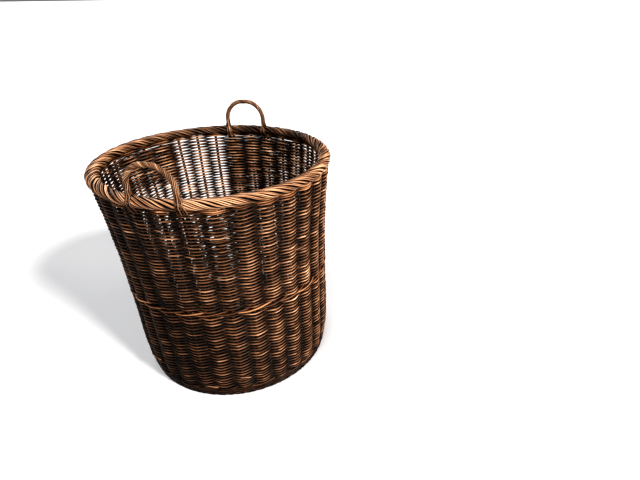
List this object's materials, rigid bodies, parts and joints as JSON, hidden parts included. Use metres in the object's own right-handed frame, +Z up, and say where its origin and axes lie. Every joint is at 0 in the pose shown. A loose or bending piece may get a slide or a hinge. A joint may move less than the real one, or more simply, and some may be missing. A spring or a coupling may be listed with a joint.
{
  "type": "laundry basket",
  "caption": "Tall round woven-willow laundry basket, open at the top, with a rolled border and two rope-wrapped bow handles standing on it.",
  "frame": {"origin": "on the floor, at the centre of the foot", "axes": "+Z up; the two handles stand on the -Y side (front) and the +Y side (back); +X to the right seen from the front"},
  "size_m": [0.667, 0.6736, 0.743],
  "materials": {
    "willow_weaver": "stained unpeeled willow, satin",
    "willow_stake": "stained unpeeled willow, satin",
    "willow_stick": "stained willow, dull",
    "willow_wale": "stained willow, satin",
    "willow_border": "stained willow, satin",
    "willow_handle": "stained willow, satin"
  },
  "bodies": {
    "root": {"base_sticks_pierced": "willow_stick", "base_sticks_threaded": "willow_stick", "cross_binding": "willow_weaver", "base_weave": "willow_weaver", "foot_border": "willow_border", "upsett_wale": "willow_wale", "lower_siding": "willow_weaver", "middle_wale": "willow_wale", "upper_siding": "willow_weaver", "top_wale": "willow_wale", "rim_border": "willow_border", "front_handle_bow": "willow_stick", "front_handle_wrap": "willow_handle", "front_handle_lashings": "willow_handle", "back_handle_bow": "willow_stick", "back_handle_wrap": "willow_handle", "back_handle_lashings": "willow_handle", "side_stake_01": "willow_stake", "side_stake_02": "willow_stake", "side_stake_03": "willow_stake", "side_stake_04": "willow_stake", "side_stake_05": "willow_stake", "side_stake_06": "willow_stake", "side_stake_07": "willow_stake", "side_stake_08": "willow_stake", "side_stake_09": "willow_stake", "side_stake_10": "willow_stake", "side_stake_11": "willow_stake", "side_stake_12": "willow_stake", "side_stake_13": "willow_stake", "side_stake_14": "willow_stake", "side_stake_15": "willow_stake", "side_stake_16": "willow_stake", "side_stake_17": "willow_stake", "side_stake_18": "willow_stake", "side_stake_19": "willow_stake", "side_stake_20": "willow_stake", "side_stake_21": "willow_stake", "side_stake_22": "willow_stake", "side_stake_23": "willow_stake", "side_stake_24": "willow_stake", "side_stake_25": "willow_stake", "side_stake_26": "willow_stake", "side_stake_27": "willow_stake", "side_stake_28": "willow_stake", "side_stake_29": "willow_stake", "side_stake_30": "willow_stake", "side_stake_31": "willow_stake", "side_stake_32": "willow_stake"}
  },
  "joints": []
}
